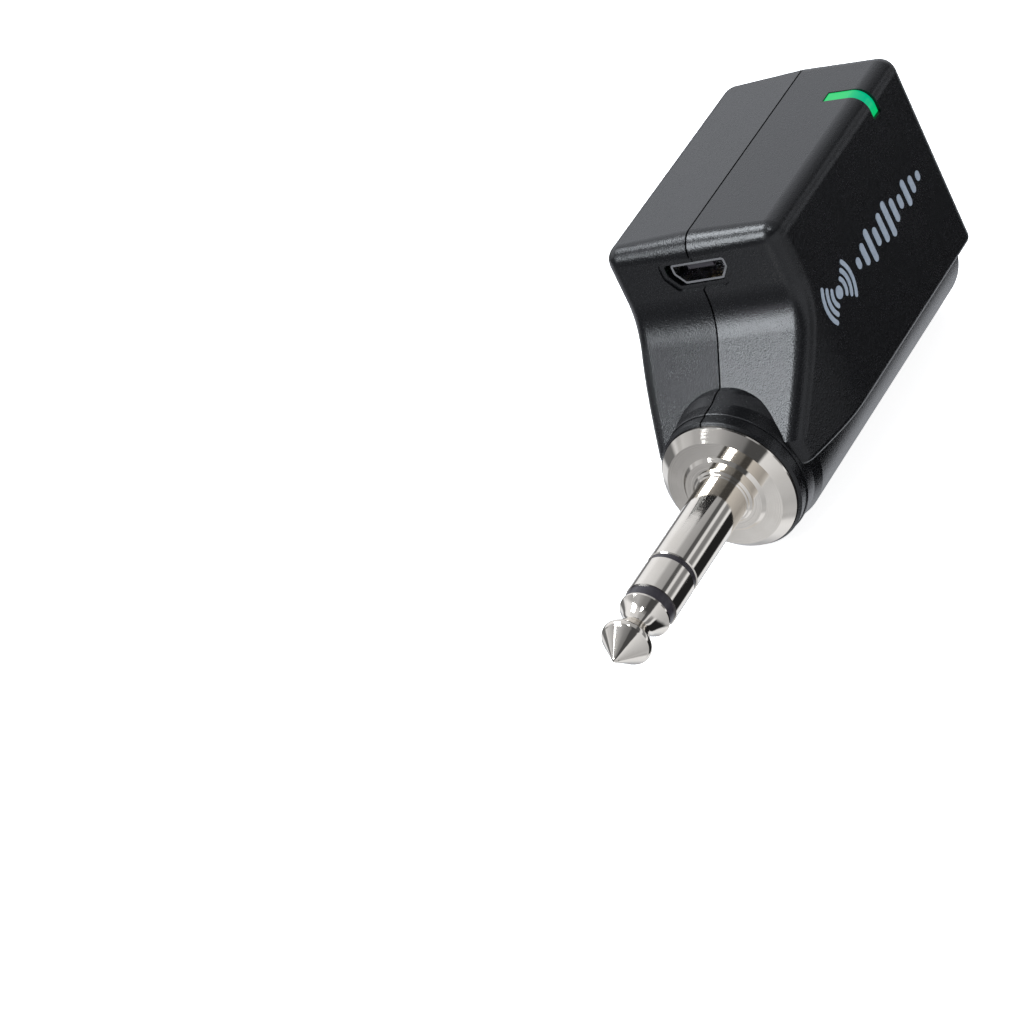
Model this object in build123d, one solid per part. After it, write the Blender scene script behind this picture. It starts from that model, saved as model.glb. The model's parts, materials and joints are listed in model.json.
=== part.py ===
"""Plug-in wireless guitar transmitter: a two-shell housing on a three-pole 6.35 mm plug.

Millimetres. X runs along the plug, whose tip points to -X. Z is up, towards the narrow face
with the light. The origin is on the plug's axis, in the flat face of the metal collar that
meets the guitar's jack. The housing parts on the plane Y = 0, and the wide face at -Y is
the marked one.
"""
import os

from build123d import *

# ---- Driving dimensions: housing ---------------------------------------------------------
HALF_WIDTH = 12.45         # parting plane to either wide face
BODY_FRONT = 13.7          # upright face that holds the charging port
BODY_REAR = 52.45          # rear face, at its foot
REAR_LEAN = 0.55           # how much further back the rear face stands at the top
TOP_FRONT = 26.5           # top of the body at the front
TOP_REAR = 26.9            # and at the rear
BODY_FLOOR = -0.2          # underside of the wide part
WALL = 1.7
DRAFT = 2.3                # degrees that every rim face leans in, away from the parting plane
TOP_ROUND = 2.45           # corners of the side outline, front and rear
EDGE_ROUND = 2.25          # edge between the rim and a wide face
FOOT_EDGE_ROUND = 0.85
BLANK_DEPTH = 3.8          # how far the blank runs below the underside before it is cut
SLOPE_TOP = (11.8, 13.8)   # where the hollow under the port runs out into the slope (x, z)
SLOPE_FOOT = (3.4, 3.8)
HOLLOW_START = 19.0        # height where the upright face starts to curve forward
HOLLOW_MID = (13.2, 16.25)
NARROWING = ((16.6, 12.45), (8.55, 11.25), (0.95, 8.85))  # half width, as the body nears the plug

# ---- Driving dimensions: round barrel under the body, and its lip round the collar -------
BARREL_RADIUS = 9.45
BARREL_REAR = 52.15
BARREL_CHAMFER = 0.6
NECK_RADIUS = 9.1
NECK_END = 5.3
NECK_TAPER_END = 7.0
LIP_RADIUS = 8.95
LIP_FRONT = 1.6
LIP_CHAMFER = 0.3
LIP_END = 3.25
BARREL_BORE = 7.6
FRONT_WALL_INSIDE = 5.7

# ---- Driving dimensions: plug (6.35 mm, tip, ring and sleeve) ----------------------------
PLUG_RADIUS = 3.175
TIP_POINT = -31.3
TIP_END = -22.8
RING_START = -21.2
RING_END = -16.25
SLEEVE_START = -15.35
INSULATOR_RADIUS = 3.02
ROD_RADIUS = 0.9
TIP_TUBE_RADIUS = 1.3
RING_TUBE_RADIUS = 1.9
RING_SLEEVE_RADIUS = 2.3
THREAD_RADIUS = 3.75
SHOULDER_FACE = -0.85
THREAD_END = 10.1
RING_SLEEVE_END = 11.4
RING_TUBE_END = 12.9
TIP_TUBE_END = 14.2
ROD_END = 15.8

# ---- Driving dimensions: collar and what clamps it ---------------------------------------
COLLAR_RADIUS = 8.55
COLLAR_FACE_RADIUS = 7.3
COLLAR_BEVEL = COLLAR_RADIUS - COLLAR_FACE_RADIUS
COLLAR_BACK = 2.45
RAISED_RADIUS = 5.25
RAISED_HEIGHT = 0.4
SHEET = 0.5                # thickness of the solder tags and of the lock washer
WASHER_RADIUS = 5.0
NUT_FLATS = 10.4
NUT_HEIGHT = 2.6

# ---- Driving dimensions: board, battery and small parts ----------------------------------
BOARD_TOP = 20.45
BOARD_THICK = 1.0
BOARD_UNDER = BOARD_TOP - BOARD_THICK
BOARD_X = (15.8, 44.7)
BOARD_HALF_WIDTH = 10.05
RAIL_HEIGHT = 1.0
BATTERY_X = (17.0, 43.7)
BATTERY_HALF_WIDTH = 9.5
BATTERY_Z = (7.6, 15.2)
FOAM_THICK = 1.9
WIRE_RADIUS = 0.4
PORT_Y = -0.35
PORT_HALF_WIDTH = 3.75
PORT_CORNER_CUT = 1.1
PORT_PLATE = 0.28          # sheet thickness of the port's shell
PORT_RECESS = 0.45         # depth of the housing's recess round the port
PORT_SINK = 0.6            # how far the port's shell lies behind the upright face
SCREW_X = 48.0
SCREW_HEIGHTS = (3.4, 22.2)
SCREW_RADIUS = 1.0
SCREW_SEAT = 5.7
SCREW_TIP = -3.8
HEAD_RADIUS = 1.8
HEAD_HEIGHT = 1.3
LED_AT = (43.3, -8.4)
PIPE_WIDTH = 1.9
PIPE_INNER_END = -6.75
PIPE_SIDE_END = 22.95
PIPE_GAP = 0.06
PIPE_TOP_SINK = 0.1         # how far the strip lies below the top
PIPE_SIDE_SINK = 0.35       # and below the marked face
SEAM_HALF_GAP = 0.12
SEAM_DEPTH = 0.45
MARK_THICK = 0.05
MARK_BASE = (20.5, 12.65)   # dot of the wireless sign (x, z)
MARK_BAR = 1.05
MARK_PITCH = 1.9


# ---- Helpers -----------------------------------------------------------------------------
def block(x, y, z):
    """Box between two limits on each axis."""
    size = (x[1] - x[0], y[1] - y[0], z[1] - z[0])
    middle = ((x[0] + x[1]) / 2, (y[0] + y[1]) / 2, (z[0] + z[1]) / 2)
    return Pos(*middle) * Box(*size)


def rod(start, end, radius, y=0.0, z=0.0):
    """Cylinder along X between two stations."""
    return Pos((start + end) / 2, y, z) * Rot(0, 90, 0) * Cylinder(radius, end - start)


def tube(start, end, outer, inner):
    """Hollow cylinder along X."""
    return rod(start, end, outer) - rod(start - 1, end + 1, inner)


def cross_rod(x, z, start, end, radius):
    """Cylinder along Y between two stations."""
    return Pos(x, (start + end) / 2, z) * Rot(90, 0, 0) * Cylinder(radius, end - start)


def turned(points):
    """Solid of revolution round the plug's axis, from its outline as (x, radius) points."""
    with BuildSketch(Plane.XZ) as outline:
        with BuildLine():
            Polyline(*points, close=True)
        make_face()
    return revolve(outline.sketch, Axis.X)


def wire(points):
    """Insulated wire of straight runs joined by arcs."""
    with BuildPart() as made:
        with BuildLine() as route:
            FilletPolyline(*points, radius=1.0)
        with BuildSketch(Plane(route.wire() @ 0, z_dir=route.wire() % 0)):
            Circle(WIRE_RADIUS)
        sweep()
    return made.part


def save(name, *solids):
    """One STEP file per node. Several solids of one node stay separate."""
    shape = solids[0] if len(solids) == 1 else Compound(children=[s for s in solids])
    export_step(shape, f"parts/{name}.step")


# ---- Housing -----------------------------------------------------------------------------
def side_outline(inset=0.0):
    """The housing's outline at the parting plane, seen from the side."""
    with BuildSketch(Plane.XZ) as outline:
        with BuildLine():
            deep = BODY_FLOOR - BLANK_DEPTH
            foot = (BODY_REAR, deep)
            top = (BODY_REAR + REAR_LEAN, TOP_REAR)
            brow = (BODY_FRONT + 0.15, TOP_FRONT)
            Line(foot, top)
            Line(top, brow)
            Line(brow, (BODY_FRONT, HOLLOW_START))
            ThreePointArc((BODY_FRONT, HOLLOW_START), HOLLOW_MID, SLOPE_TOP)
            Line(SLOPE_TOP, SLOPE_FOOT)
            Line(SLOPE_FOOT, (SLOPE_FOOT[0], deep))
            Line((SLOPE_FOOT[0], deep), foot)
        make_face()
        upper = [v for v in outline.vertices() if v.Y > HOLLOW_START + 1]
        fillet(upper, TOP_ROUND)
        if inset:
            offset(amount=-inset, mode=Mode.REPLACE)
    return outline.sketch


def plan_outline(inset=0.0):
    """Half of the plan, which narrows towards the plug."""
    wide, middle, narrow = [(x, -(y - inset)) for x, y in NARROWING]
    behind = BODY_REAR + 2
    with BuildSketch(Plane.XY.offset(BODY_FLOOR - BLANK_DEPTH - 1)) as outline:
        with BuildLine():
            Polyline((narrow[0], 0), (behind, 0), (behind, wide[1]), wide)
            Spline(wide, middle, narrow, tangents=((-1, 0), (-0.94, 0.34)))
            Line(narrow, (narrow[0], 0))
        make_face()
    return outline.sketch


def body_blank(inset=0.0):
    """The wide part of the -Y half, as a solid that still runs below the underside."""
    drafted = extrude(side_outline(inset), HALF_WIDTH - inset, taper=DRAFT)
    plan = extrude(plan_outline(inset), TOP_REAR + 2 * BLANK_DEPTH)
    return (drafted & plan).solid()


def cut_at_floor(blank, floor):
    """Cuts a blank off flat at the underside."""
    return (blank - block((-5, 60), (-HALF_WIDTH - 1, 1), (-20, floor))).solid()


def rounded_half_body():
    """The wide part with its edges rounded along the wide face and round its underside."""
    blank = body_blank()
    boxes = [(edge, edge.bounding_box()) for edge in blank.edges()]
    low = BODY_FLOOR - BLANK_DEPTH + 1
    rim = [edge for edge, box in boxes if box.max.Y < -8.1 and box.max.Z > low]
    half = cut_at_floor(blank.fillet(EDGE_ROUND, rim), BODY_FLOOR)
    boxes = [(edge, edge.bounding_box()) for edge in half.edges()]
    foot = [edge for edge, box in boxes if abs(box.max.Z - BODY_FLOOR) < 0.01]
    foot = [edge for edge in foot if edge.center().Y < -1 and edge.bounding_box().max.X > 4.0]
    return half.fillet(FOOT_EDGE_ROUND, foot)


def barrel_outside():
    """Round barrel on the plug's axis, with the neck and the lip that holds the collar."""
    return turned([
        (LIP_FRONT, 0),
        (LIP_FRONT, LIP_RADIUS - LIP_CHAMFER),
        (LIP_FRONT + LIP_CHAMFER, LIP_RADIUS),
        (LIP_END, LIP_RADIUS),
        (LIP_END, NECK_RADIUS - 0.06),
        (LIP_END + 0.15, NECK_RADIUS),
        (NECK_END, NECK_RADIUS),
        (NECK_TAPER_END, BARREL_RADIUS),
        (BARREL_REAR - BARREL_CHAMFER, BARREL_RADIUS),
        (BARREL_REAR, BARREL_RADIUS - BARREL_CHAMFER),
        (BARREL_REAR, 0),
    ])


def port_outline(grow=0.0):
    """Cross-section of the charging port: wide at the top, its lower corners cut off."""
    with BuildSketch(Plane.YZ) as outline:
        with BuildLine():
            low, bend, high = BOARD_TOP + 0.05, BOARD_TOP + 1.5, BOARD_TOP + 2.8
            left, right = PORT_Y - PORT_HALF_WIDTH, PORT_Y + PORT_HALF_WIDTH
            cut = PORT_CORNER_CUT
            Polyline(
                (left + cut, low), (right - cut, low), (right, bend),
                (right, high), (left, high), (left, bend), close=True,
            )
        make_face()
        fillet(outline.vertices(), 0.35)
        if grow:
            offset(amount=grow, mode=Mode.REPLACE)
    return outline.sketch


def port_prism(start, end, grow=0.0):
    """The port's cross-section carried from one X to another."""
    return Pos(start, 0, 0) * extrude(port_outline(grow), end - start)


def inner_half_body():
    """The hollow of the wide part, one wall thickness inside its outside."""
    return cut_at_floor(body_blank(WALL), BODY_FLOOR + WALL)


def pipe_slab(gap=0.0):
    """Slab that marks out the light pipe where it wraps the top edge."""
    middle = LED_AT[0]
    reach = PIPE_WIDTH / 2 + gap
    return block(
        (middle - reach, middle + reach),
        (-HALF_WIDTH - 1, PIPE_INNER_END + gap),
        (PIPE_SIDE_END - gap, TOP_REAR + 1),
    )


def tongues(grow=0.0):
    """Alignment tongues of the left shell, set in the middle of the wall."""
    depth = 0.8 + grow
    top = block((19 - grow, 41 + grow), (-depth, 0), (25.25 - grow, 25.75 + grow))
    rear = block((51.3 - grow, 51.8 + grow), (-depth, 0), (7 - grow, 19 + grow))
    keel = block((12 - grow, 47 + grow), (-depth, 0), (-8.8 - grow, -8.3 + grow))
    return top, rear, keel


def shell_furniture():
    """Rails, ribs and stops moulded inside the -Y half."""
    side = -(HALF_WIDTH - WALL + 0.3)
    rail = block((17.6, 43.2), (side, -8.9), (BOARD_UNDER - RAIL_HEIGHT, BOARD_UNDER))
    stops = [block((x, x + 1.2), (side, -9.1), (BOARD_TOP, 23.8)) for x in (22.8, 37.0)]
    ribs = [block((x, x + 1.2), (side, -0.3), (1.0, BATTERY_Z[0])) for x in (22, 31, 40)]
    return [rail, *stops, *ribs]


def shell_blank():
    """Outside and inside of the -Y half: the parts that both shells share, as one solid."""
    room = block((-5, 60), (-HALF_WIDTH - 1, 0), (-15, 35))
    outside = rounded_half_body() + (barrel_outside() & room)
    inner = (inner_half_body() + rod(FRONT_WALL_INSIDE, BARREL_REAR - WALL, BARREL_BORE)) & room
    shell = outside - inner
    for piece in shell_furniture():
        shell = shell + (piece & outside)
    shell -= rod(LIP_FRONT - 1, COLLAR_BACK, COLLAR_RADIUS + 0.05)
    shell -= rod(LIP_FRONT - 1, FRONT_WALL_INSIDE + 1, THREAD_RADIUS + 0.1)
    shell -= port_prism(BODY_FRONT - 2, BODY_FRONT + 6, 0.12)
    shell -= port_prism(BODY_FRONT - 2, BODY_FRONT + PORT_RECESS, 0.8)
    return shell - seam_gap(), outside


def seam_gap():
    """Fine shadow gap along the parting line."""
    slab = block((-5, 60), (-SEAM_HALF_GAP, 1), (-15, 35))
    core = extrude(side_outline(SEAM_DEPTH), 1, both=True)
    core += rod(LIP_FRONT + 0.2, BARREL_REAR - SEAM_DEPTH, LIP_RADIUS - SEAM_DEPTH)
    core += rod(NECK_TAPER_END, BARREL_REAR - SEAM_DEPTH, BARREL_RADIUS - SEAM_DEPTH)
    return slab - core


def right_shell(blank, outside):
    """Marked half, with the light pipe's slot and the screw posts."""
    shell = blank
    for height in SCREW_HEIGHTS:
        post = cross_rod(SCREW_X, height, -HALF_WIDTH + 1, 0, 2.1)
        shell += post & outside
        shell -= cross_rod(SCREW_X, height, SCREW_TIP - 1, 0, SCREW_RADIUS)
    for groove in tongues(0.08):
        shell -= groove
    return shell - pipe_slab(PIPE_GAP)


def left_shell(blank, outside):
    """Plain half, with counterbored screw posts and the alignment tongues."""
    shell = mirror(blank, about=Plane.XZ)
    outer = mirror(outside, about=Plane.XZ)
    for height in SCREW_HEIGHTS:
        post = cross_rod(SCREW_X, height, 0, HALF_WIDTH - 1, 2.75)
        shell += post & outer
        shell -= cross_rod(SCREW_X, height, SCREW_SEAT, HALF_WIDTH + 1, HEAD_RADIUS + 0.2)
        shell -= cross_rod(SCREW_X, height, -1, HALF_WIDTH, SCREW_RADIUS + 0.1)
    for tongue in tongues():
        shell += tongue
    return shell


def housing_screw(height):
    """Self-tapping screw that pulls the left shell onto the right one."""
    shank = cross_rod(SCREW_X, height, SCREW_TIP, SCREW_SEAT, SCREW_RADIUS)
    head = cross_rod(SCREW_X, height, SCREW_SEAT, SCREW_SEAT + HEAD_HEIGHT, HEAD_RADIUS)
    top = SCREW_SEAT + HEAD_HEIGHT
    slot = block((-1.2, 1.2), (top - 0.6, top + 1), (-0.25, 0.25))
    cross = slot + Rot(0, 90, 0) * slot
    return shank + head - Pos(SCREW_X, 0, height) * cross


def light_pipe(outside):
    """Clear strip set just below the top and the marked face, with a leg down to the light."""
    strip = (pipe_slab() & Pos(0, PIPE_SIDE_SINK, -PIPE_TOP_SINK) * outside) - inner_half_body()
    x, y = LED_AT
    leg = block((x - 0.75, x + 0.75), (y - 0.9, y + 0.9), (BOARD_TOP + 0.85, TOP_FRONT - 1))
    return strip + leg


# ---- Plug --------------------------------------------------------------------------------
def plug_tip():
    """Tip contact with its rod, which runs right through the plug."""
    with BuildSketch(Plane.XZ) as outline:
        with BuildLine():
            Line((ROD_END, 0), (TIP_POINT, 0))
            ThreePointArc((TIP_POINT, 0), (TIP_POINT + 0.1, 0.28), (TIP_POINT + 0.35, 0.5))
            Line((TIP_POINT + 0.35, 0.5), (-28.4, 2.8))
            ThreePointArc((-28.4, 2.8), (-27.85, 3.09), (-27.25, 2.8))
            Line((-27.25, 2.8), (-26.0, 2.0))
            ThreePointArc((-26.0, 2.0), (-25.35, 1.82), (-24.7, 1.95))
            ThreePointArc((-24.7, 1.95), (-23.75, 2.45), (-23.0, 3.08))
            Line((-23.0, 3.08), (TIP_END, 3.12))
            Line((TIP_END, 3.12), (TIP_END, ROD_RADIUS))
            Line((TIP_END, ROD_RADIUS), (ROD_END, ROD_RADIUS))
            Line((ROD_END, ROD_RADIUS), (ROD_END, 0))
        make_face()
    return revolve(outline.sketch, Axis.X)


def headed_tube(start, head_end, end, head_radius, outer, inner):
    """Tube with a thicker head at its front, as the ring and both insulators have."""
    return turned([
        (start, inner), (start, head_radius), (head_end, head_radius),
        (head_end, outer), (end, outer), (end, inner),
    ])


def plug_sleeve():
    """Sleeve contact, with its shoulder and the threaded tail behind it."""
    return turned([
        (SLEEVE_START, RING_SLEEVE_RADIUS),
        (SLEEVE_START, PLUG_RADIUS - 0.12),
        (SLEEVE_START + 0.12, PLUG_RADIUS),
        (SHOULDER_FACE - 0.15, PLUG_RADIUS),
        (SHOULDER_FACE, PLUG_RADIUS + 0.15),
        (SHOULDER_FACE, THREAD_RADIUS - 0.25),
        (SHOULDER_FACE + 0.25, THREAD_RADIUS),
        (THREAD_END - 0.4, THREAD_RADIUS),
        (THREAD_END, THREAD_RADIUS - 0.4),
        (THREAD_END, RING_SLEEVE_RADIUS),
    ])


def collar_nut():
    """Polished collar: bevelled, with a low raised ring round the plug."""
    return turned([
        (-RAISED_HEIGHT, THREAD_RADIUS),
        (-RAISED_HEIGHT, RAISED_RADIUS - RAISED_HEIGHT),
        (0, RAISED_RADIUS),
        (0, COLLAR_FACE_RADIUS),
        (COLLAR_BEVEL, COLLAR_RADIUS),
        (COLLAR_BACK, COLLAR_RADIUS),
        (COLLAR_BACK, THREAD_RADIUS),
    ])


def solder_tag(start, outer, inner, side, reach):
    """Ring tag with an ear that stands up beside the plug."""
    ear = block((start, start + SHEET), (side - 0.8, side + 0.8), (inner + 0.4, reach))
    return tube(start, start + SHEET, outer, inner) + (ear - rod(start - 1, start + 2, inner))


def lock_washer():
    """Toothed washer between the ground tag and the nut."""
    start = FRONT_WALL_INSIDE + SHEET
    washer = tube(start, start + SHEET, WASHER_RADIUS, THREAD_RADIUS + 0.05)
    for angle in range(0, 360, 30):
        notch = Pos(0, 0, WASHER_RADIUS) * Box(2, 0.7, 0.9)
        washer -= Pos(start, 0, 0) * Rot(angle, 0, 0) * notch
    return washer


def lock_nut():
    """Hexagon nut that clamps the plug and both shells."""
    start = FRONT_WALL_INSIDE + 2 * SHEET
    with BuildSketch(Plane.YZ) as outline:
        RegularPolygon(NUT_FLATS / 2, 6, major_radius=False)
    nut = Pos(start, 0, 0) * extrude(outline.sketch, NUT_HEIGHT)
    return nut - rod(start - 1, start + NUT_HEIGHT + 1, THREAD_RADIUS)


# ---- Charging port -----------------------------------------------------------------------
def port_shell():
    """Folded steel shell of the charging port, open at the front."""
    front = BODY_FRONT + PORT_SINK
    back = front + 4.7
    hollow = Pos(front - 1, 0, 0) * extrude(port_outline(-PORT_PLATE), back - front + 0.7)
    return port_prism(front, back) - hollow


def port_tongue():
    """Moulded tongue that carries the contacts."""
    middle, top = PORT_Y, BOARD_TOP + 2.2
    tongue = block((14.8, 18.6), (middle - 1.8, middle + 1.8), (BOARD_TOP + 1.65, top))
    root = block((17.5, 18.6), (middle - 2.75, middle + 2.75), (BOARD_TOP + 1.15, top))
    return tongue + root


def port_contacts():
    """Five spring contacts under the tongue."""
    under = BOARD_TOP + 1.65
    places = [PORT_Y + (n - 2) * 0.65 for n in range(5)]
    return [block((15.1, 17.5), (y - 0.13, y + 0.13), (under - 0.12, under)) for y in places]


# ---- Board and what it carries -----------------------------------------------------------
def main_board():
    """Main circuit board, with rounded corners."""
    board = block(BOARD_X, (-BOARD_HALF_WIDTH, BOARD_HALF_WIDTH), (BOARD_UNDER, BOARD_TOP))
    corners = board.edges().filter_by(Axis.Z)
    return fillet(corners, 0.8)


def on_board(x, y, height, lift=0.0):
    """Part that stands on the board's upper face."""
    return block(x, y, (BOARD_TOP + lift, BOARD_TOP + lift + height))


def under_board(x, y, height):
    """Part that hangs from the board's lower face."""
    return block(x, y, (BOARD_UNDER - height, BOARD_UNDER))


def shield_can():
    """Tinned can over the radio circuit, open towards its board."""
    can = on_board((26.6, 38.0), (-4.7, 7.6), 1.9, 0.8)
    return can - on_board((26.8, 37.8), (-4.5, 7.4), 1.7, 0.8)


def small_capacitors():
    """Ceramic capacitors beside the chips, above and below the board."""
    row = [on_board((x, x + 1.0), (-8.2, -7.7), 0.5) for x in (25.2, 27.5, 29.8, 32.1)]
    back = [under_board((x, x + 1.0), (6.3, 6.8), 0.5) for x in (27.5, 29.8, 32.1)]
    return row + back


# ---- Battery -----------------------------------------------------------------------------
def battery_cell():
    """Lithium pouch with rounded long edges."""
    cell = block(BATTERY_X, (-BATTERY_HALF_WIDTH, BATTERY_HALF_WIDTH), BATTERY_Z)
    return fillet(cell.edges().filter_by(Axis.X), 1.4)


def battery_socket():
    """Two-pin connector under the board."""
    body = under_board((19.9, 23.7), (3.0, 7.2), 2.1)
    return body - block((19, 22.2), (3.5, 6.7), (17.8, 19.05))


def battery_lead(y):
    """One wire from the cell's protection board to its connector."""
    return wire([(16.45, y, 14.2), (16.45, y, 18.4), (22.2, y, 18.4)])


def signal_wire(x, y, foot):
    """Wire from the top of a solder tag's ear up to the board."""
    rise = [(x, y, foot), (x, y, foot + 2.1), (14.8, y, 11.9), (15.1, y, 14.6)]
    return wire(rise + [(17.5, y, 17.6), (17.5, y, BOARD_UNDER)])


def ground_wire(y):
    """Wire from the ground tag, which first runs back over the lock nut."""
    start = FRONT_WALL_INSIDE + SHEET
    way = [(start, y, 6.25), (10.5, y, 6.25), (14.4, y, 9.1), (15.1, y, 14.6)]
    return wire(way + [(17.5, y, 17.6), (17.5, y, BOARD_UNDER)])


# ---- Printed mark ------------------------------------------------------------------------
def printed_mark():
    """Plain wireless sign and a row of level bars, printed on the marked face."""
    face = Plane(origin=(0, -HALF_WIDTH, 0), x_dir=(1, 0, 0), z_dir=(0, -1, 0))
    with BuildPart() as mark:
        with BuildSketch(face):
            with Locations(MARK_BASE):
                Circle(0.8)
            for radius in (1.65, 2.7, 3.75):
                for lean in (0, 180):
                    with BuildLine():
                        CenterArc(MARK_BASE, radius, lean - 38, 76)
                        offset(amount=0.32)
                    make_face()
            for n, height in enumerate((1.5, 3.0, 4.5, 2.5, 4.0, 4.9, 3.2, 1.9, 3.6, 2.3, 1.3)):
                with Locations((MARK_BASE[0] + 6.1 + MARK_PITCH * n, MARK_BASE[1])):
                    SlotOverall(height, MARK_BAR, rotation=90)
        extrude(amount=MARK_THICK)
    return mark.part


# ---- Build -------------------------------------------------------------------------------
def build_housing():
    blank, outside = shell_blank()
    save("right_shell", right_shell(blank, outside))
    save("left_shell", left_shell(blank, outside))
    save("housing_screws", *[housing_screw(height) for height in SCREW_HEIGHTS])
    save("light_pipe", light_pipe(outside))
    save("printed_mark", *printed_mark().solids())


def build_plug():
    save("plug_tip", plug_tip())
    tip_insulator = headed_tube(
        TIP_END, RING_START, TIP_TUBE_END, INSULATOR_RADIUS, TIP_TUBE_RADIUS, ROD_RADIUS)
    save("tip_insulator", tip_insulator)
    ring = headed_tube(
        RING_START, RING_END, RING_TUBE_END, PLUG_RADIUS, RING_TUBE_RADIUS, TIP_TUBE_RADIUS)
    save("plug_ring", ring)
    ring_insulator = headed_tube(
        RING_END, SLEEVE_START, RING_SLEEVE_END, INSULATOR_RADIUS, RING_SLEEVE_RADIUS,
        RING_TUBE_RADIUS)
    save("ring_insulator", ring_insulator)
    save("plug_sleeve", plug_sleeve())
    save("collar_nut", collar_nut())
    save("ground_tag", solder_tag(FRONT_WALL_INSIDE, 5.3, THREAD_RADIUS, 2.1, 6.75))
    save("lock_washer", lock_washer())
    save("lock_nut", lock_nut())
    save("ring_tag", solder_tag(RING_SLEEVE_END + 0.4, 3.5, RING_TUBE_RADIUS, -2.1, 5.15))
    save("tip_tag", solder_tag(TIP_TUBE_END + 0.3, 2.3, ROD_RADIUS, 0, 4.75))
    save("ground_wire", ground_wire(2.1))
    save("ring_wire", signal_wire(RING_SLEEVE_END + 0.4 + SHEET / 2, -2.1, 5.15))
    save("tip_wire", signal_wire(TIP_TUBE_END + 0.3 + SHEET / 2, 0, 4.75))


def build_electronics():
    save("main_board", main_board())
    save("port_shell", port_shell())
    save("port_tongue", port_tongue())
    save("port_contacts", *port_contacts())
    save("radio_board", on_board((25.2, 39.4), (-5.7, 8.5), 0.8))
    save("shield_can", shield_can())
    save("radio_chip", on_board((29.5, 34.3), (-1.4, 3.4), 0.9, 0.8))
    save("chip_antenna", on_board((41.4, 43.1), (-2.9, 3.8), 1.2))
    led_x, led_y = [(middle - 0.8, middle + 0.8) for middle in LED_AT]
    save("status_led", on_board(led_x, led_y, 0.7))
    save("charger_chip", on_board((20.7, 23.6), (-6.5, -3.6), 0.8))
    save("converter_chip", under_board((28.5, 33.3), (-2.4, 2.4), 1.0))
    save("power_coil", under_board((35.6, 39.4), (-1.9, 1.9), 1.7))
    save("timing_crystal", under_board((35.1, 38.2), (-6.9, -4.5), 0.8))
    save("small_capacitors", *small_capacitors())


def build_battery():
    save("battery_cell", battery_cell())
    save("protection_board", block((16.05, 16.85), (-7.6, 7.6), (8.6, 14.2)))
    foam_z = (BATTERY_Z[1], BATTERY_Z[1] + FOAM_THICK)
    save("battery_foam", block((18.5, 42.7), (-8.1, 8.1), foam_z))
    save("battery_socket", battery_socket())
    save("battery_plus_wire", battery_lead(4.35))
    save("battery_minus_wire", battery_lead(5.85))


os.makedirs("parts", exist_ok=True)
build_housing()
build_plug()
build_electronics()
build_battery()
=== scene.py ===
"""Looks for the plug-in wireless guitar transmitter: finishes, studio and camera.

Metres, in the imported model's frame: X along the plug, whose tip points to -X, Z up.
"""
import json
import math

import bmesh
import bpy
from mathutils import Matrix, Vector


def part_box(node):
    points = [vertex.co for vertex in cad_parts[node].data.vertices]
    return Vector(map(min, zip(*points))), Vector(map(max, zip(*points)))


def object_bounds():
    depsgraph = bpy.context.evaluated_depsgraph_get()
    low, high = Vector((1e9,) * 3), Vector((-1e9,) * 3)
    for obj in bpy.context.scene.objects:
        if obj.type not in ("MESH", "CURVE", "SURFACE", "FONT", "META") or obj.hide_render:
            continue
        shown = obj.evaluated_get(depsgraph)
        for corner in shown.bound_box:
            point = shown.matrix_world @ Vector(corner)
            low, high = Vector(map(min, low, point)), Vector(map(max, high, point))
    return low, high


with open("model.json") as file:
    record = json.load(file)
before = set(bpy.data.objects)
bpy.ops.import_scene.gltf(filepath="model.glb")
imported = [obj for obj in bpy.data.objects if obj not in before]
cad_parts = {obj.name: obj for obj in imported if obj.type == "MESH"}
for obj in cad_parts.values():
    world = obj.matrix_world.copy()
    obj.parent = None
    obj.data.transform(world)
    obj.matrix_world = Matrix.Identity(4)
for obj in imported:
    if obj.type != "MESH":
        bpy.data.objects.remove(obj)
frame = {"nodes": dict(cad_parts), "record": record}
cad_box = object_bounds()

MM = 0.001


# ---- Finishes: shader arithmetic -----------------------------------------------------------
class Signal:
    """A shader socket that Python arithmetic turns into Math nodes."""

    def __init__(self, finish, socket):
        self.finish = finish
        self.socket = socket

    def math(self, operation, *values):
        return self.finish.node("Math", {"operation": operation}, values)

    def __add__(self, other):
        return self.math("ADD", self, other)

    def __sub__(self, other):
        return self.math("SUBTRACT", self, other)

    def __rsub__(self, other):
        return self.math("SUBTRACT", other, self)

    def __mul__(self, other):
        return self.math("MULTIPLY", self, other)

    __radd__ = __add__
    __rmul__ = __mul__


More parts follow.
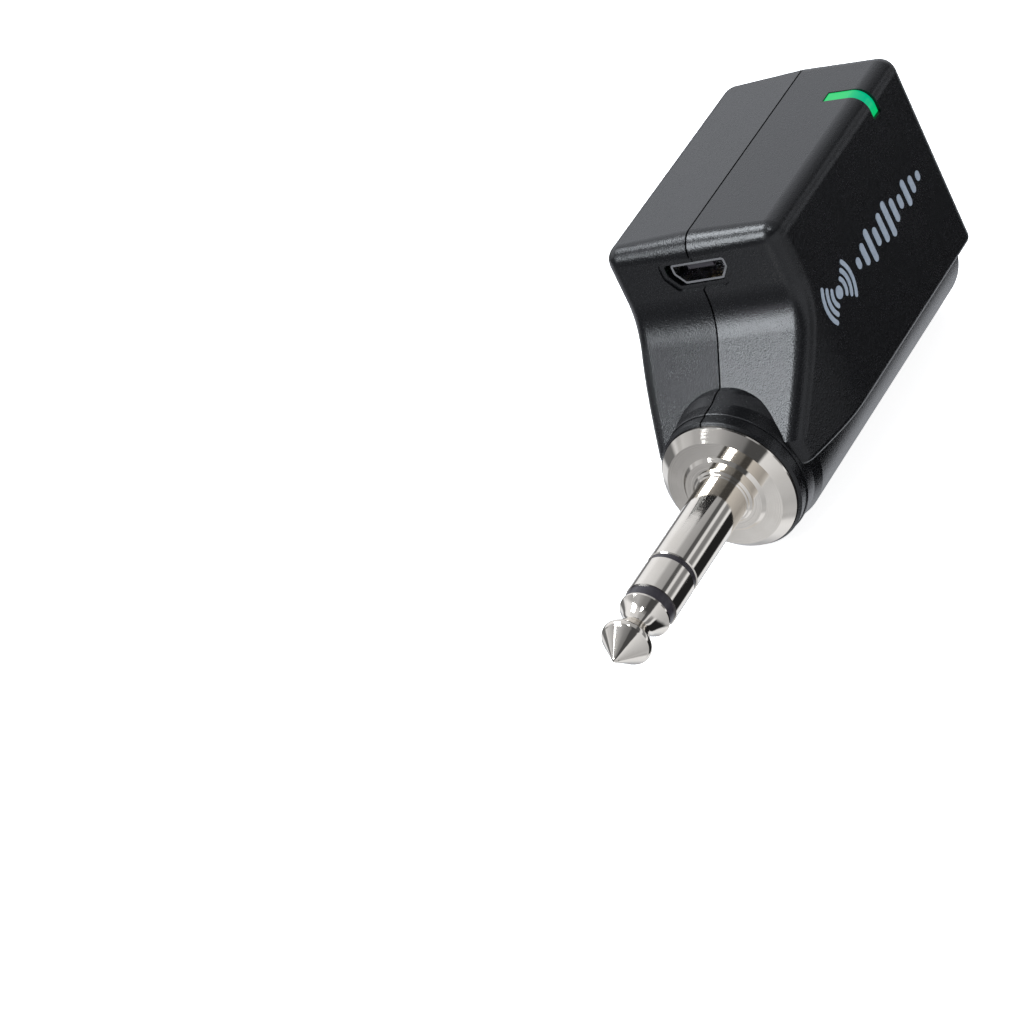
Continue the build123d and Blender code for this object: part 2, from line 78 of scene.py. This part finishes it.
class Finish:
    """A node tree under construction, for a material or the studio's surroundings."""

    def __init__(self, tree):
        self.tree = tree
        tree.nodes.clear()

    def node(self, kind, settings=None, inputs=(), out=0):
        """One node: its type, its settings, what its sockets get, and the output wanted."""
        made = self.tree.nodes.new("ShaderNode" + kind)
        for name, value in (settings or {}).items():
            if name == "stops":
                self.set_stops(made.color_ramp, value)
            else:
                setattr(made, name, value)
        pairs = inputs.items() if isinstance(inputs, dict) else enumerate(inputs)
        for key, value in pairs:
            if isinstance(value, Signal):
                self.tree.links.new(value.socket, made.inputs[key])
            else:
                made.inputs[key].default_value = value
        return Signal(self, made.outputs[out]) if made.outputs else None

    def set_stops(self, ramp, stops):
        for place, _ in stops[2:]:
            ramp.elements.new(place)
        for element, (place, colour) in zip(ramp.elements, stops):
            element.position = place
            element.color = colour

    def place(self, stretch=None):
        """The point on the piece, in metres; stretch draws a pattern out along an axis."""
        point = self.node("TexCoord", out="Object")
        if stretch is None:
            return point
        return self.node("Mapping", None, {"Vector": point, "Scale": stretch})

    def noise(self, scale, detail=2.0, point=None):
        """Noise from 0 to 1, with about `scale` grains to the metre."""
        inputs = {"Vector": point or self.place(), "Scale": scale, "Detail": detail}
        return self.node("TexNoise", None, inputs, out="Fac")

    def cells(self, scale):
        """Distance within a cell pattern of that many cells to the metre."""
        inputs = {"Vector": self.place(), "Scale": scale}
        return self.node("TexVoronoi", None, inputs, out="Distance")

    def between(self, value, low, high):
        """0 below low and 1 above high, with a soft step from one to the other."""
        inputs = {"Value": value, "From Min": low, "From Max": high}
        settings = {"interpolation_type": "SMOOTHSTEP", "clamp": True}
        return self.node("MapRange", settings, inputs)

    def blend(self, factor, first, second):
        """Colour from first to second."""
        settings = {"data_type": "RGBA", "clamp_factor": True}
        return self.node("Mix", settings, {0: factor, 6: first, 7: second}, out=2)

    def turned_point(self):
        """Point on a piece turned round the plug's axis: its station and its radius."""
        along = self.node("SeparateXYZ", None, [self.place()], out="X")
        across = self.node("VectorMath", {"operation": "MULTIPLY"}, [self.place(), (0, 1, 1)])
        radius = self.node("VectorMath", {"operation": "LENGTH"}, [across], out="Value")
        return self.node("CombineXYZ", None, [along, radius, 0.0])

    def bump(self, height, depth, strength=1.0, under=None):
        """Fine relief of the depth given, in metres, on top of any relief under it."""
        inputs = {"Height": height, "Distance": depth, "Strength": strength}
        if under is not None:
            inputs["Normal"] = under
        return self.node("Bump", None, inputs)

    def surface(self, **sockets):
        """The finish itself; underscores in a socket's name stand for spaces."""
        inputs = {name.replace("_", " "): value for name, value in sockets.items()}
        shader = self.node("BsdfPrincipled", None, inputs)
        self.node("OutputMaterial", None, [shader])


def colour(red, green, blue):
    return (red, green, blue, 1.0)


def new_finish(name):
    material = bpy.data.materials.new(name)
    material.use_nodes = True
    return material, Finish(material.node_tree)


# ---- Finishes: housing ---------------------------------------------------------------------
def satin_black_plastic():
    """Moulded black plastic with a fine spark-eroded grain and a few handling marks."""
    material, f = new_finish("satin_black_plastic")
    grain = f.noise(5200, 1.0)
    fine = f.noise(11000, 1.0)
    handling = f.noise(160, 4.0)
    scuff = f.between(f.noise(900, 3.0, f.place((1.0, 0.35, 0.12))), 0.70, 0.78)
    tone = f.blend(grain, colour(0.0012, 0.0013, 0.0017), colour(0.0038, 0.0040, 0.0048))
    tone = f.blend(scuff * 0.3, tone, colour(0.014, 0.014, 0.015))
    rough = 0.19 + 0.06 * handling + 0.08 * grain - 0.03 * scuff
    relief = f.bump(grain + 0.3 * fine, 0.024 * MM, 1.0)
    f.surface(Base_Color=tone, Roughness=rough, Normal=relief, Specular_IOR_Level=0.46)
    return material


def mark_ink():
    """Blue-grey pad-printed ink, a little uneven, with pinholes."""
    material, f = new_finish("pad_printed_ink")
    cloud = f.noise(1400, 3.0)
    pinhole = f.between(f.cells(5200), 0.10, 0.20)
    tone = f.blend(cloud, colour(0.17, 0.205, 0.255), colour(0.235, 0.275, 0.33))
    tone = f.blend(pinhole, colour(0.05, 0.055, 0.065), tone)
    relief = f.bump(f.noise(9000, 1.0), 0.006 * MM, 0.4)
    f.surface(Base_Color=tone, Roughness=0.42 + 0.15 * cloud, Normal=relief)
    return material


def lit_strip():
    """Clear strip lit green from inside, bluer where it wraps the edge."""
    material, f = new_finish("lit_green_strip")
    low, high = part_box("light_pipe")
    across = f.node("SeparateXYZ", None, [f.place()], out="Y")
    height = f.node("SeparateXYZ", None, [f.place()], out="Z")
    near_edge = 1 - f.between(across, low.y + 0.4 * MM, low.y + 3.2 * MM)
    near_top = f.between(height, high.z - 4.2 * MM, high.z - 0.8 * MM)
    mottle = f.noise(1500, 2.0)
    glow = f.blend(near_edge * near_top, colour(0.0, 0.50, 0.11), colour(0.0, 0.36, 0.22))
    glow = f.blend(mottle * 0.35, glow, colour(0.0, 0.60, 0.16))
    rough = 0.18 + 0.12 * f.noise(3000, 2.0)
    relief = f.bump(f.noise(2500, 2.0), 0.008 * MM, 0.5)
    f.surface(Base_Color=colour(0.0, 0.06, 0.02), Roughness=rough, Normal=relief,
              Emission_Color=glow, Emission_Strength=1.0, Specular_IOR_Level=0.2)
    return material


# ---- Finishes: metals ----------------------------------------------------------------------
def turned_nickel():
    """Bright nickel plate over turned brass: fine rings from the lathe, wear and smudges."""
    material, f = new_finish("turned_nickel")
    lathe = f.noise(9000, 2.0, f.turned_point())
    smudge = f.between(f.noise(260, 3.0), 0.48, 0.72)
    scratch = f.between(f.noise(2600, 2.0, f.place((0.08, 1.0, 1.0))), 0.70, 0.76)
    tone = f.blend(f.noise(420, 3.0), colour(0.80, 0.755, 0.69), colour(0.71, 0.66, 0.59))
    rough = 0.045 + 0.05 * smudge + 0.035 * lathe + 0.08 * scratch
    relief = f.bump(lathe, 0.0028 * MM, 0.6)
    relief = f.bump(scratch, 0.001 * MM, 0.4, relief)
    f.surface(Base_Color=tone, Metallic=1.0, Roughness=rough, Normal=relief)
    return material


def rolled_metal(name, light, dark, rough, grain_way):
    """Plated sheet metal: fine rolling lines along grain_way, stains and dull patches."""
    material, f = new_finish(name)
    lines = f.noise(6000, 2.0, f.place(grain_way))
    stain = f.between(f.noise(700, 4.0), 0.45, 0.75)
    tone = f.blend(stain, light, dark)
    relief = f.bump(lines, 0.004 * MM, 0.5)
    f.surface(Base_Color=tone, Metallic=1.0, Roughness=rough + 0.14 * stain + 0.08 * lines,
              Normal=relief)
    return material


def zinc_black_screw():
    """Black zinc with bright rubbed metal where the driver has been."""
    material, f = new_finish("black_zinc_screw")
    rub = f.between(f.noise(2600, 4.0), 0.58, 0.70)
    tone = f.blend(rub, colour(0.045, 0.046, 0.052), colour(0.32, 0.32, 0.33))
    relief = f.bump(f.noise(8000, 2.0), 0.006 * MM, 0.6)
    f.surface(Base_Color=tone, Metallic=0.9, Roughness=0.42 - 0.14 * rub, Normal=relief)
    return material


# ---- Finishes: plastics, boards and small parts --------------------------------------------
def moulded(name, base, pale, rough, scale=5200, depth=0.006):
    """Plain moulded or coated part: cloudy tone, fine grain, uneven gloss."""
    material, f = new_finish(name)
    cloud = f.noise(scale * 0.16, 3.0)
    grain = f.noise(scale, 2.0)
    tone = f.blend(cloud, base, pale)
    relief = f.bump(grain, depth * MM, 0.6)
    f.surface(Base_Color=tone, Roughness=rough + 0.12 * cloud + 0.05 * grain, Normal=relief)
    return material


def solder_mask():
    """Green solder mask over copper tracks, with the glass weave just showing."""
    material, f = new_finish("green_solder_mask")
    run = f.node("TexWave", {"bands_direction": "Y"},
                 {"Vector": f.place(), "Scale": 210.0, "Distortion": 9.0, "Detail": 1.0,
                  "Detail Scale": 0.6}, out="Fac")
    track = f.between(run, 0.60, 0.68)
    warp = f.noise(3800, 1.0, f.place((1.0, 0.3, 1.0)))
    weft = f.noise(3800, 1.0, f.place((0.3, 1.0, 1.0)))
    weave = warp * weft
    tone = f.blend(track, colour(0.012, 0.105, 0.040), colour(0.035, 0.205, 0.085))
    relief = f.bump(track, 0.02 * MM, 0.7)
    relief = f.bump(weave, 0.01 * MM, 0.5, relief)
    f.surface(Base_Color=tone, Roughness=0.24 + 0.25 * weave, Normal=relief)
    return material


def pouch_foil():
    """Laminated battery foil, crinkled and slightly dull, with painted shade in the hollows of
    its creases.
    """
    material, f = new_finish("pouch_foil")
    crease = f.noise(420, 5.0)
    relief = f.bump(crease, 0.12 * MM, 0.7)
    # Tone follows the crease height: painted shade, darker in the hollows of the creases.
    tone = f.blend(crease, colour(0.60, 0.61, 0.63), colour(0.74, 0.75, 0.77))
    f.surface(Base_Color=tone, Metallic=0.85, Roughness=0.28 + 0.16 * crease, Normal=relief)
    return material


def open_foam():
    """Grey open-cell foam, with painted shade in its pores."""
    material, f = new_finish("open_cell_foam")
    pore = f.between(f.cells(2300), 0.12, 0.55)
    # Tone is darker at the centre of each pore: painted shade in the foam's hollows.
    tone = f.blend(pore, colour(0.030, 0.030, 0.033), colour(0.13, 0.13, 0.14))
    f.surface(Base_Color=tone, Roughness=0.95 - 0.08 * pore, Normal=f.bump(pore, 0.12 * MM, 0.9))
    return material


def make_finishes():
    """One finish for each material slot of the record."""
    return {
        "black_plastic": satin_black_plastic(),
        "mark_ink": mark_ink(),
        "light_green": lit_strip(),
        "nickel": turned_nickel(),
        "port_steel": rolled_metal("port_steel", colour(0.42, 0.42, 0.43),
                                   colour(0.30, 0.30, 0.30), 0.16, (0.15, 1.0, 1.0)),
        "tinned_steel": rolled_metal("tinned_can", colour(0.70, 0.71, 0.72),
                                     colour(0.56, 0.57, 0.57), 0.26, (0.12, 1.0, 1.0)),
        "tinned_brass": rolled_metal("tinned_brass_tag", colour(0.70, 0.64, 0.52),
                                     colour(0.60, 0.50, 0.34), 0.24, (1.0, 1.0, 0.12)),
        "gold_contact": rolled_metal("gold_contact", colour(0.83, 0.62, 0.26),
                                     colour(0.74, 0.52, 0.20), 0.18, (0.12, 1.0, 1.0)),
        "screw_steel": zinc_black_screw(),
        "board_green": solder_mask(),
        "pouch_foil": pouch_foil(),
        "foam_grey": open_foam(),
        "insulator": moulded("black_insulator", colour(0.013, 0.011, 0.014),
                             colour(0.024, 0.020, 0.027), 0.26, 6500, 0.004),
        "wire_black": moulded("black_wire_cover", colour(0.02, 0.02, 0.021),
                              colour(0.035, 0.035, 0.036), 0.38),
        "wire_white": moulded("white_wire_cover", colour(0.72, 0.72, 0.69),
                              colour(0.82, 0.82, 0.80), 0.36),
        "wire_red": moulded("red_wire_cover", colour(0.48, 0.020, 0.018),
                            colour(0.60, 0.035, 0.028), 0.36),
        "chip_black": moulded("chip_resin", colour(0.022, 0.022, 0.024),
                              colour(0.040, 0.040, 0.043), 0.52, 9000, 0.012),
        "ceramic_white": moulded("fired_white_ceramic", colour(0.70, 0.72, 0.74),
                                 colour(0.80, 0.81, 0.82), 0.40, 7000, 0.008),
        "ceramic_tan": moulded("fired_tan_ceramic", colour(0.42, 0.30, 0.19),
                               colour(0.55, 0.42, 0.28), 0.42, 9000, 0.008),
        "led_die": moulded("led_resin", colour(0.78, 0.80, 0.52),
                           colour(0.86, 0.86, 0.66), 0.20, 5000, 0.003),
        "socket_white": moulded("nylon_socket", colour(0.76, 0.74, 0.68),
                                colour(0.84, 0.82, 0.77), 0.44, 6000, 0.008),
    }


def dress_nodes(finishes):
    """Gives every CAD node the finish of its slot in the record."""
    for part in frame["record"]["subparts"]:
        node = frame["nodes"][part["node"]]
        node.data.materials.clear()
        node.data.materials.append(finishes[part["material_slot"]])


# ---- Studio --------------------------------------------------------------------------------
CAMERA_PLACE = Vector((-332.3, -262.9, 215.4)) * MM
CAMERA_RIGHT = Vector((0.43079, -0.79696, -0.42340))
CAMERA_UP = Vector((0.59915, -0.09828, 0.79458))
LENS = 143.1
SENSOR = 36.0
NEAREST_SEEN = 0.01

FLOOR_HALF = 3.0
FLOOR_SQUARES = 8
FLOOR_GLOW = 0.9
WHITE = colour(1.0, 1.0, 1.0)

COOL = (0.90, 0.95, 1.0)
BOX_TARGET = Vector((14.0, 0.0, 9.0)) * MM
BOX_DISTANCE = 0.6
BOXES = (           # (name, direction from the part, width, height, brightness)
    ("overhead_box", (-0.06, 0.40, 0.915), 0.24, 0.24, 14.0),
    ("front_box", (-0.725, 0.385, 0.56), 0.23, 0.28, 14.0),
    ("corner_box", (-0.265, -0.344, 0.88), 0.08, 0.08, 30.0),
)

# The tent's panels run along the plug. One ring of them stands beside and behind the part,
# the other ahead of the plug's tip.
FULL_TURN = 2 * math.pi
FULL_CIRCLE = 360
DARK_BOARD = 0.02
BRIGHTEST = 1.5
TENT_TINT = (0.95, 0.98, 1.04)
AHEAD_FROM, BESIDE_FROM = -0.25, -0.05      # where one ring gives way to the other, along X
BESIDE = (          # (degrees round the plug's axis from +Y towards +Z, brightness)
    (0, 0.20), (9, 0.20), (15, 1.0), (28, 1.12), (46, 1.12), (56, 0.95), (100, 0.80),
    (112, 0.50), (140, 0.42), (144, 0.10), (157, 0.12), (161, 0.95), (169, 0.90), (173, 0.30),
    (186, 0.24), (191, 0.40), (197, 1.05), (203, 1.0), (208, DARK_BOARD), (256, DARK_BOARD),
    (264, 1.05), (285, 0.95), (302, 0.50), (334, 0.50), (340, 0.95), (350, 0.90), (354, 0.20),
    (360, 0.20),
)
AHEAD = (
    (0, 0.10), (18, 0.10), (26, 0.70), (39, 0.60), (44, 0.50), (75, 0.55), (100, 0.30),
    (122, 0.22), (128, 0.08), (158, 0.08), (163, 0.95), (205, 0.70), (240, 0.55),
    (300, 0.90), (319, 0.90), (322, 0.32), (350, 0.15), (360, 0.10),
)


def panel_ring(f, turn, panels):
    """Brightness of one ring of panels, by the fraction of a turn round the plug's axis."""
    stops = [(angle / FULL_CIRCLE, colour(*[level / BRIGHTEST * share for share in TENT_TINT]))
             for angle, level in panels]
    return f.node("ValToRGB", {"stops": stops}, [turn])


def make_surroundings():
    """Light tent of panels that run along the plug, plain white where seen directly."""
    world = bpy.data.worlds.new("light_tent")
    bpy.context.scene.world = world
    world.use_nodes = True
    f = Finish(world.node_tree)
    way = f.node("TexCoord", out="Generated")
    along = f.node("SeparateXYZ", None, [way], out="X")
    side = f.node("SeparateXYZ", None, [way], out="Y")
    height = f.node("SeparateXYZ", None, [way], out="Z")
    turn = f.node("Math", {"operation": "ARCTAN2"}, [height, side]) * (1 / FULL_TURN)
    turn = f.node("Math", {"operation": "FRACT"}, [turn + 1.0])
    beside = f.between(along, AHEAD_FROM, BESIDE_FROM)
    ring = f.blend(beside, panel_ring(f, turn, AHEAD), panel_ring(f, turn, BESIDE))
    seen = f.node("LightPath", out="Is Camera Ray")
    tent = f.node("Background", None, {"Color": ring, "Strength": BRIGHTEST})
    plain = f.node("Background", None, {"Color": WHITE, "Strength": 1.0})
    shown = f.node("MixShader", None, [seen, tent, plain])
    f.node("OutputWorld", None, [shown])


def soft_box(name, towards, width, height, brightness):
    """Rectangular lamp that faces the part from the direction given."""
    data = bpy.data.lights.new(name, "AREA")
    data.shape = "RECTANGLE"
    data.size = width
    data.size_y = height
    data.energy = brightness * math.pi * width * height
    data.color = COOL
    lamp = bpy.data.objects.new(name, data)
    bpy.context.scene.collection.objects.link(lamp)
    away = Vector(towards).normalized()
    lamp.location = BOX_TARGET + away * BOX_DISTANCE
    lamp.rotation_euler = away.to_track_quat("Z", "Y").to_euler()
    lamp.visible_camera = False


def make_lights():
    """A box over the front top edge, one for the slope, and a small one for the corner."""
    for box in BOXES:
        soft_box(*box)


def make_floor():
    """Plain pale light table under the barrel."""
    material, f = new_finish("pale_floor")
    tone = f.blend(f.noise(30, 3.0), colour(0.90, 0.90, 0.90), colour(0.92, 0.92, 0.92))
    f.surface(Base_Color=tone, Roughness=0.85, Specular_IOR_Level=0.1,
              Emission_Color=WHITE, Emission_Strength=FLOOR_GLOW)
    shape = bmesh.new()
    bmesh.ops.create_grid(shape, x_segments=FLOOR_SQUARES, y_segments=FLOOR_SQUARES,
                          size=FLOOR_HALF)
    bmesh.ops.translate(shape, verts=shape.verts, vec=(0, 0, cad_box[0][2]))
    mesh = bpy.data.meshes.new("floor")
    shape.to_mesh(mesh)
    shape.free()
    mesh.materials.append(material)
    floor = bpy.data.objects.new("floor", mesh)
    bpy.context.scene.collection.objects.link(floor)
    floor.visible_glossy = False


def make_camera():
    data = bpy.data.cameras.new("camera")
    data.lens = LENS
    data.sensor_width = SENSOR
    data.clip_start = NEAREST_SEEN
    back = CAMERA_RIGHT.cross(CAMERA_UP)
    axes = Matrix((CAMERA_RIGHT, CAMERA_UP, back)).transposed()
    camera = bpy.data.objects.new("camera", data)
    camera.matrix_world = Matrix.Translation(CAMERA_PLACE) @ axes.to_4x4()
    bpy.context.scene.collection.objects.link(camera)
    bpy.context.scene.camera = camera


# ---- Build ---------------------------------------------------------------------------------
finishes = make_finishes()
dress_nodes(finishes)
make_surroundings()
make_lights()
make_floor()
make_camera()
bpy.context.scene.view_settings.view_transform = "Standard"
